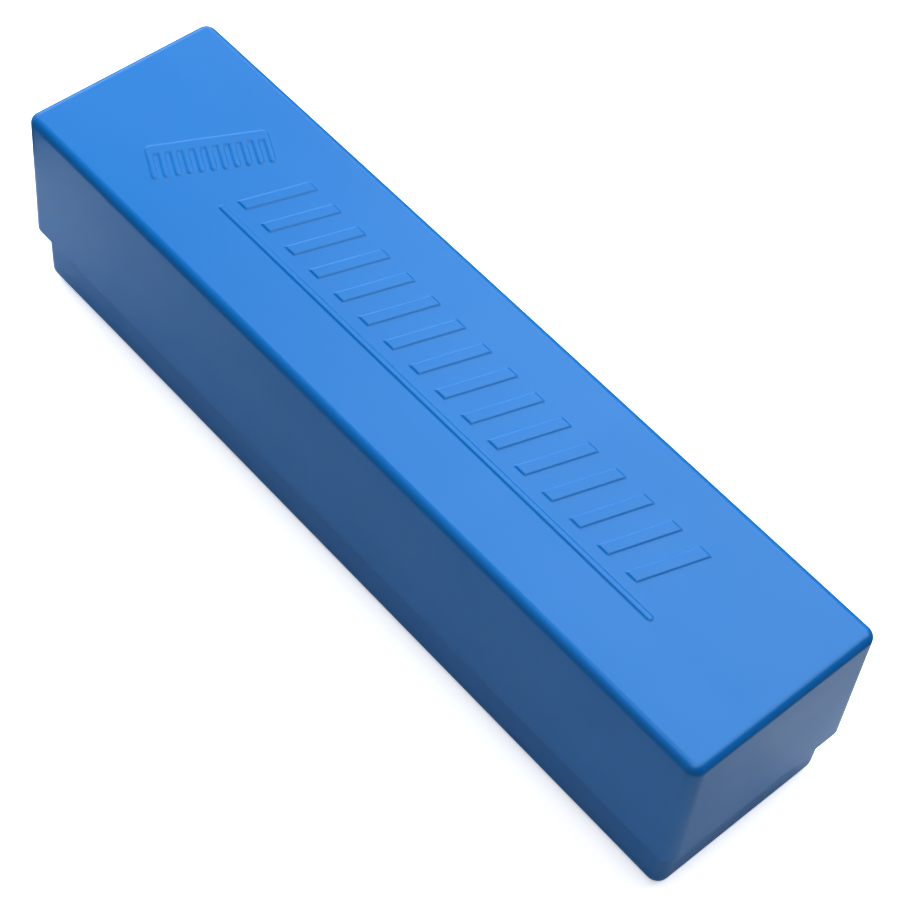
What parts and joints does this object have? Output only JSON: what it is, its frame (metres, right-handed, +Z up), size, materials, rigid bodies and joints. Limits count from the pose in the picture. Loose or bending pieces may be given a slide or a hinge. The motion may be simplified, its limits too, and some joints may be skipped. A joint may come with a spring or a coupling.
{
  "type": "fade brush in a travel case",
  "caption": "Small barber's brush with an oblong wooden head and staggered bristle tufts, lying in a long blue moulded case with a deep lift-off lid.",
  "frame": {"origin": "middle of the case's underside", "axes": "+X along the case, towards the end where the brush's grip lies; +Y across it; +Z up, the way the lid and then the brush lift off"},
  "size_m": [0.2004, 0.0484, 0.0494],
  "materials": {
    "case_plastic": "satin, fine moulded texture",
    "handle_wood": "hardwood with a clear satin lacquer",
    "bristle": "fine dark bristle filaments, cut square at the tips",
    "anchor_wire": "flat drawn wire"
  },
  "bodies": {
    "base": {"case_base": "case_plastic"},
    "brush": {"brush_handle": "handle_wood", "tuft_r1_c01": "bristle", "tuft_r1_c02": "bristle", "tuft_r1_c03": "bristle", "tuft_r1_c04": "bristle", "tuft_r1_c05": "bristle", "tuft_r1_c06": "bristle", "tuft_r1_c07": "bristle", "tuft_r1_c08": "bristle", "tuft_r1_c09": "bristle", "tuft_r2_c01": "bristle", "tuft_r2_c02": "bristle", "tuft_r2_c03": "bristle", "tuft_r2_c04": "bristle", "tuft_r2_c05": "bristle", "tuft_r2_c06": "bristle", "tuft_r2_c07": "bristle", "tuft_r2_c08": "bristle", "tuft_r2_c09": "bristle", "tuft_r2_c10": "bristle", "tuft_r3_c01": "bristle", "tuft_r3_c02": "bristle", "tuft_r3_c03": "bristle", "tuft_r3_c04": "bristle", "tuft_r3_c05": "bristle", "tuft_r3_c06": "bristle", "tuft_r3_c07": "bristle", "tuft_r3_c08": "bristle", "tuft_r3_c09": "bristle", "tuft_r3_c10": "bristle", "tuft_r3_c11": "bristle", "tuft_r4_c01": "bristle", "tuft_r4_c02": "bristle", "tuft_r4_c03": "bristle", "tuft_r4_c04": "bristle", "tuft_r4_c05": "bristle", "tuft_r4_c06": "bristle", "tuft_r4_c07": "bristle", "tuft_r4_c08": "bristle", "tuft_r4_c09": "bristle", "tuft_r4_c10": "bristle", "tuft_r5_c01": "bristle", "tuft_r5_c02": "bristle", "tuft_r5_c03": "bristle", "tuft_r5_c04": "bristle", "tuft_r5_c05": "bristle", "tuft_r5_c06": "bristle", "tuft_r5_c07": "bristle", "tuft_r5_c08": "bristle", "tuft_r5_c09": "bristle"},
    "lid": {"case_lid": "case_plastic"}
  },
  "joints": [
    {"name": "brush_lift", "type": "slide", "parent": "base", "child": "brush", "axis": [0, 0, 1], "range_m": [0, 0.055]},
    {"name": "lid_lift", "type": "slide", "parent": "brush", "child": "lid", "axis": [0, 0, 1], "range_m": [0, 0.06]}
  ]
}
